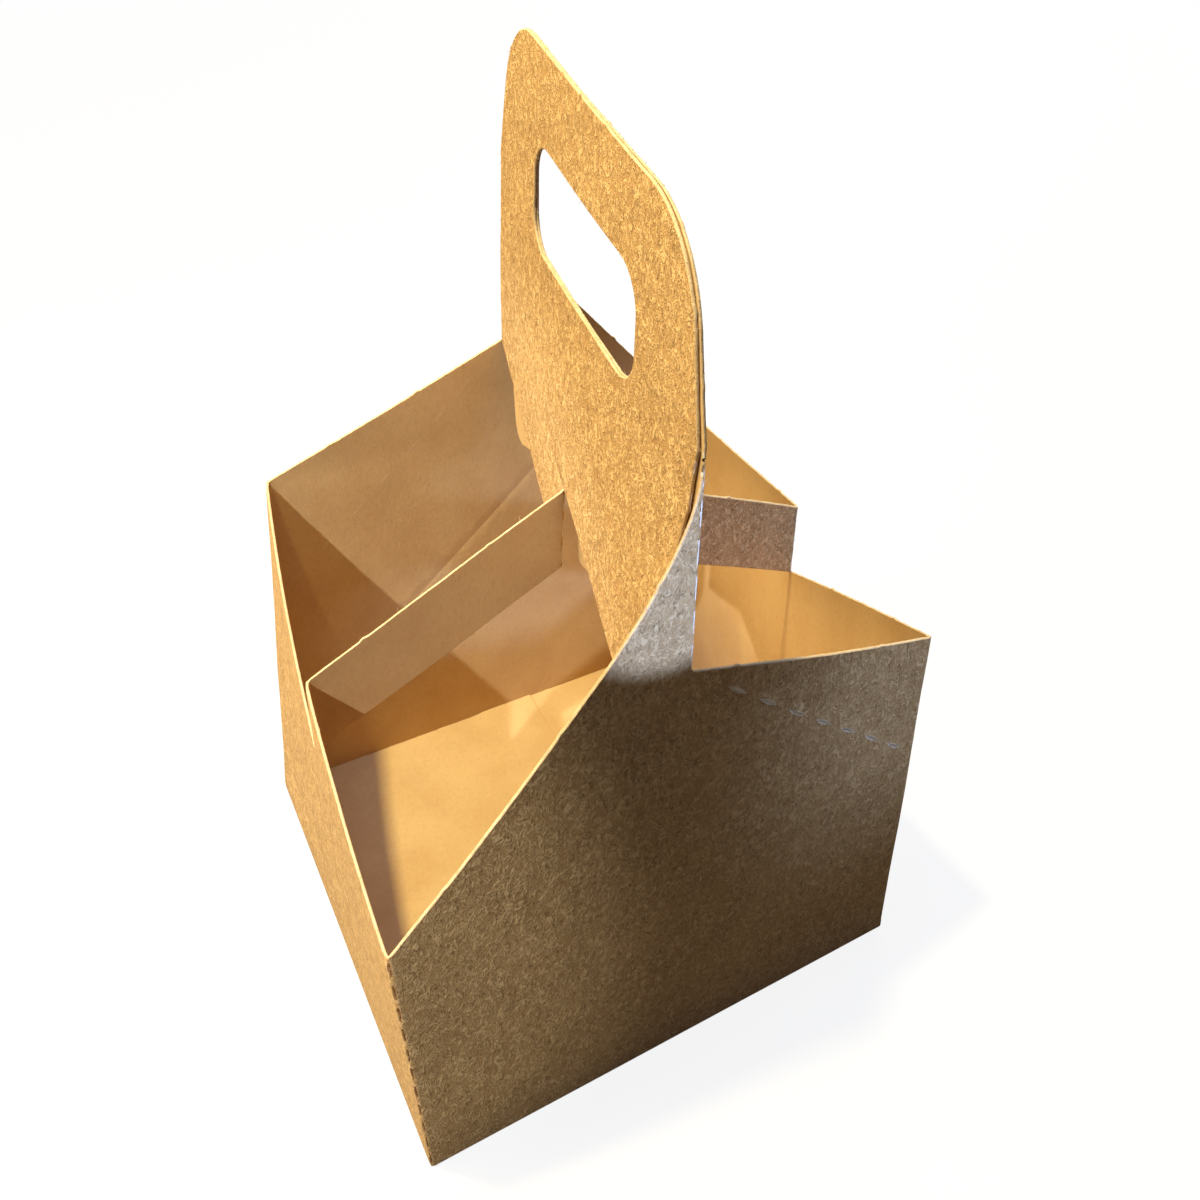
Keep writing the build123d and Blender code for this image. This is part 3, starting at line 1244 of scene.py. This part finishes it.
def camera():
    """Camera at the photograph's viewing angle."""
    data = bpy.data.cameras.new("camera")
    data.sensor_width = CAMERA_SENSOR
    data.lens = CAMERA_LENS
    data.shift_x, data.shift_y = CAMERA_SHIFT
    data.clip_start = CAMERA_NEAR
    made = bpy.data.objects.new("camera", data)
    forward = Vector(CAMERA_FORWARD).normalized()
    right = Vector(CAMERA_RIGHT)
    right = (right - forward * right.dot(forward)).normalized()
    up = right.cross(forward)
    turned = Matrix((right, up, -forward)).transposed().to_4x4()
    made.matrix_world = Matrix.Translation(Vector(CAMERA_AT) * MM) @ turned
    bpy.context.scene.collection.objects.link(made)
    bpy.context.scene.camera = made


pulp_fibres = pulp_fibres_group()
outer_kraft = kraft(
    "outer_kraft", pulp_fibres,
    dark=(0.45, 0.253, 0.095, 1), light=(0.54, 0.313, 0.121, 1),
    fibre=(0.82, 0.54, 0.245, 1), fleck=(0.28, 0.150, 0.054, 1),
    fibre_scale=330.0, cloud_scale=70.0, roughness=(0.65, 0.9), specular=0.08,
    fibre_share=0.82, fleck_share=0.82, relief=0.95,
)
inner_kraft = kraft(
    "inner_kraft", pulp_fibres,
    dark=(0.52, 0.32, 0.13, 1), light=(0.575, 0.375, 0.162, 1),
    fibre=(0.64, 0.445, 0.218, 1), fleck=(0.445, 0.264, 0.102, 1),
    fibre_scale=520.0, cloud_scale=45.0, roughness=(0.5, 0.68), specular=0.15,
    fibre_share=0.25, fleck_share=0.3, relief=0.15,
)
cut_kraft = kraft(
    "cut_kraft", pulp_fibres,
    dark=(0.53, 0.35, 0.165, 1), light=(0.64, 0.45, 0.235, 1),
    fibre=(0.76, 0.60, 0.38, 1), fleck=(0.39, 0.235, 0.105, 1),
    fibre_scale=900.0, cloud_scale=260.0, roughness=(0.75, 0.95), specular=0.2,
    fibre_share=0.4, fleck_share=0.5, relief=0.4,
)
torn_kraft = kraft(
    "torn_kraft", pulp_fibres,
    dark=(0.82, 0.69, 0.48, 1), light=(0.90, 0.78, 0.57, 1),
    fibre=(0.96, 0.87, 0.68, 1), fleck=(0.60, 0.45, 0.27, 1),
    fibre_scale=900.0, cloud_scale=260.0, roughness=(0.75, 0.95), specular=0.2,
    fibre_share=0.4, fleck_share=0.4, relief=0.4,
)

points, rises, crushes, faces = middle_surface()
normals = surface_normals(points, faces)
points = [point + normal * rise for point, normal, rise in zip(points, normals, rises)]
normals = surface_normals(points, faces)
edges = cut_edges(faces)
board_mesh = carrier_board_mesh(points, normals, crushes, faces, edges)
carrier = piece("folded_board", board_mesh, outer_kraft, inner_kraft, cut_kraft, torn_kraft)
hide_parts("carrier_board")
piece("edge_fibres", edge_fibres_mesh(points, normals, edges), cut_kraft)
piece("face_fibres", face_fibres_mesh(points, normals, faces), cut_kraft)

studio_floor()
studio_world()
studio_lamps()
camera()

view = bpy.context.scene.view_settings
view.view_transform = "Standard"
